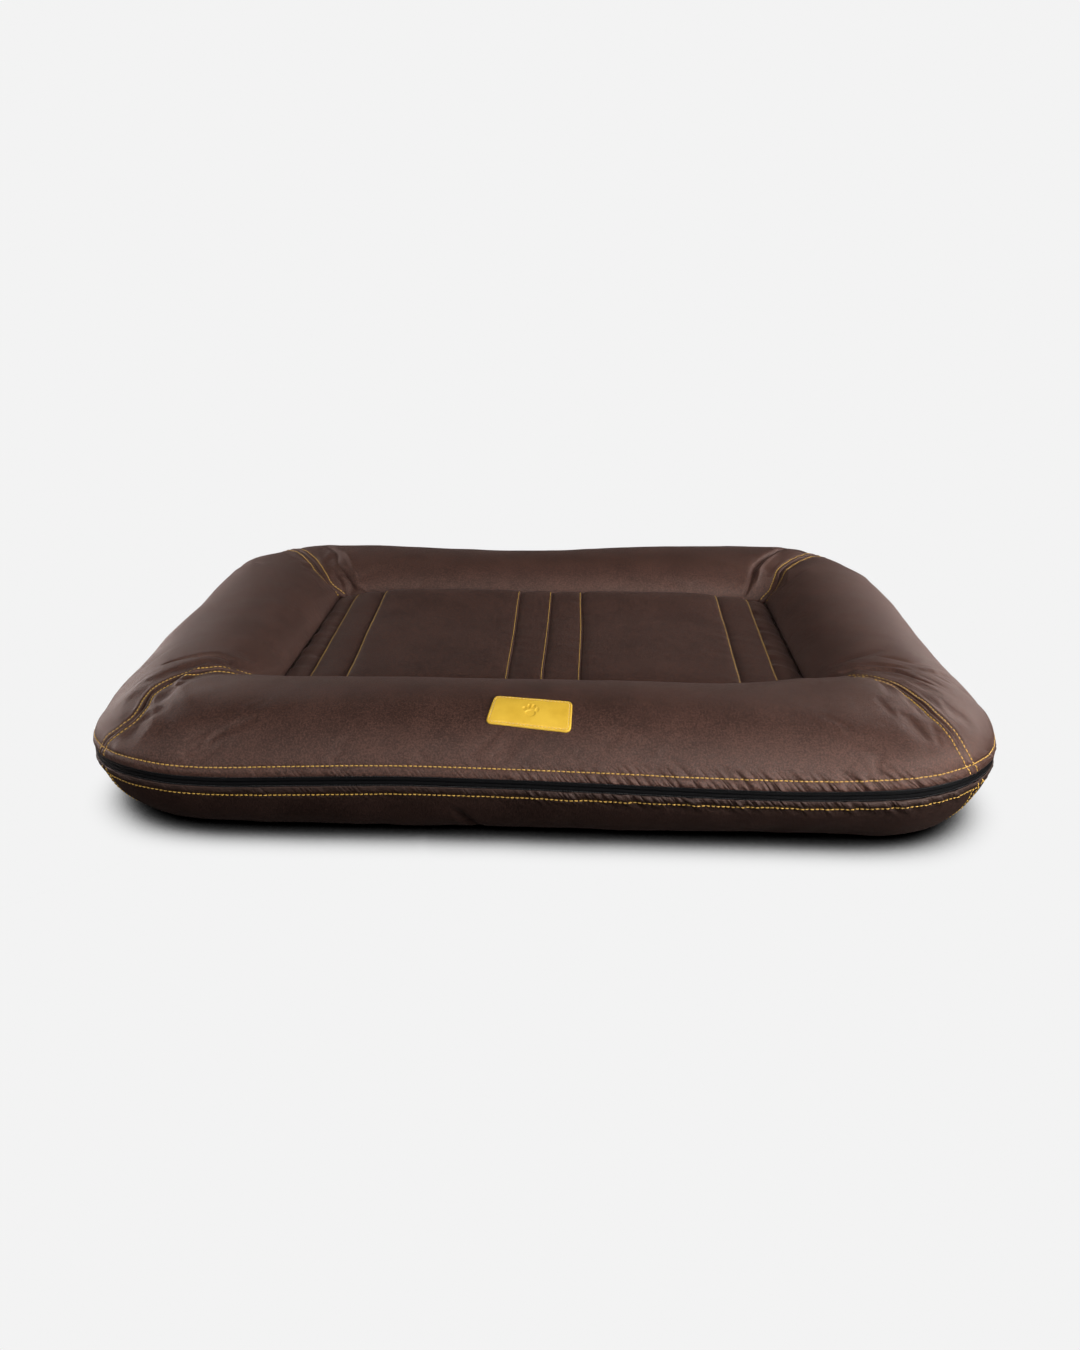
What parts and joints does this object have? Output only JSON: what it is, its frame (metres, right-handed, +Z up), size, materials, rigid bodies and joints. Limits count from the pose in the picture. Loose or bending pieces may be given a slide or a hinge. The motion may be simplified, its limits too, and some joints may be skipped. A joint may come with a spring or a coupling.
{
  "type": "pet cushion bed",
  "caption": "Rectangular padded pet bed: a rounded rim round a sunken, channel-stitched sleeping surface, in a two-part fabric cover that zips apart round the rim",
  "frame": {"origin": "Centre of the underside, on the floor the bed lies on", "axes": "+X along the long side, -Y the front that carries the label, +Y the back with the zip's ends and slider, +Z up"},
  "size_m": [0.8982, 0.681, 0.1246],
  "materials": {
    "cover_fabric": "dark brown synthetic satin weave with a soft sheen",
    "base_fabric": "the same dark brown weave, a little duller",
    "liner_fabric": "off-white non-woven liner",
    "zip_tape": "black woven polyester tape",
    "zip_coil": "black nylon coil",
    "zip_metal": "black painted die-cast metal",
    "label_leather": "golden yellow embossed imitation leather"
  },
  "bodies": {
    "base_cover": {"base_panel": "base_fabric", "base_border_front": "base_fabric", "base_border_right": "base_fabric", "base_border_back": "base_fabric", "base_border_left": "base_fabric", "zip_tape_lower": "zip_tape", "zip_coil_lower": "zip_coil", "zip_stop_lower_left": "zip_metal", "zip_stop_lower_right": "zip_metal"},
    "inner_cushion": {"rim_insert_front": "liner_fabric", "rim_insert_right": "liner_fabric", "rim_insert_back": "liner_fabric", "rim_insert_left": "liner_fabric", "mattress_insert": "liner_fabric"},
    "top_cover": {"rim_cover_front": "cover_fabric", "rim_cover_right": "cover_fabric", "rim_cover_back": "cover_fabric", "rim_cover_left": "cover_fabric", "sleep_margin_left": "cover_fabric", "sleep_band_left": "cover_fabric", "sleep_panel_left": "cover_fabric", "sleep_band_centre_left": "cover_fabric", "sleep_band_centre_right": "cover_fabric", "sleep_panel_right": "cover_fabric", "sleep_band_right": "cover_fabric", "sleep_margin_right": "cover_fabric", "label_patch": "label_leather", "zip_tape_upper": "zip_tape", "zip_coil_upper": "zip_coil", "zip_stop_upper_left": "zip_metal", "zip_stop_upper_right": "zip_metal", "zip_end_tab": "cover_fabric"},
    "zip_slider": {"zip_slider_body": "zip_metal"},
    "zip_pull": {"zip_pull_tab": "zip_metal"}
  },
  "joints": [
    {"name": "inserts_lift", "type": "slide", "parent": "base_cover", "child": "inner_cushion", "axis": [0, 0, 1], "range_m": [0, 0.15]},
    {"name": "top_cover_lift", "type": "slide", "parent": "inner_cushion", "child": "top_cover", "axis": [0, 0, 1], "range_m": [0, 0.2]},
    {"name": "zip_slide", "type": "slide", "parent": "base_cover", "child": "zip_slider", "axis": [1, 0, 0], "range_m": [0, 0.25]},
    {"name": "zip_pull_turn", "type": "hinge", "parent": "zip_slider", "child": "zip_pull", "pos_m": [0.034, 0.3395, 0.066], "axis": [0, 0, 1], "range_deg": [0, 170]}
  ]
}
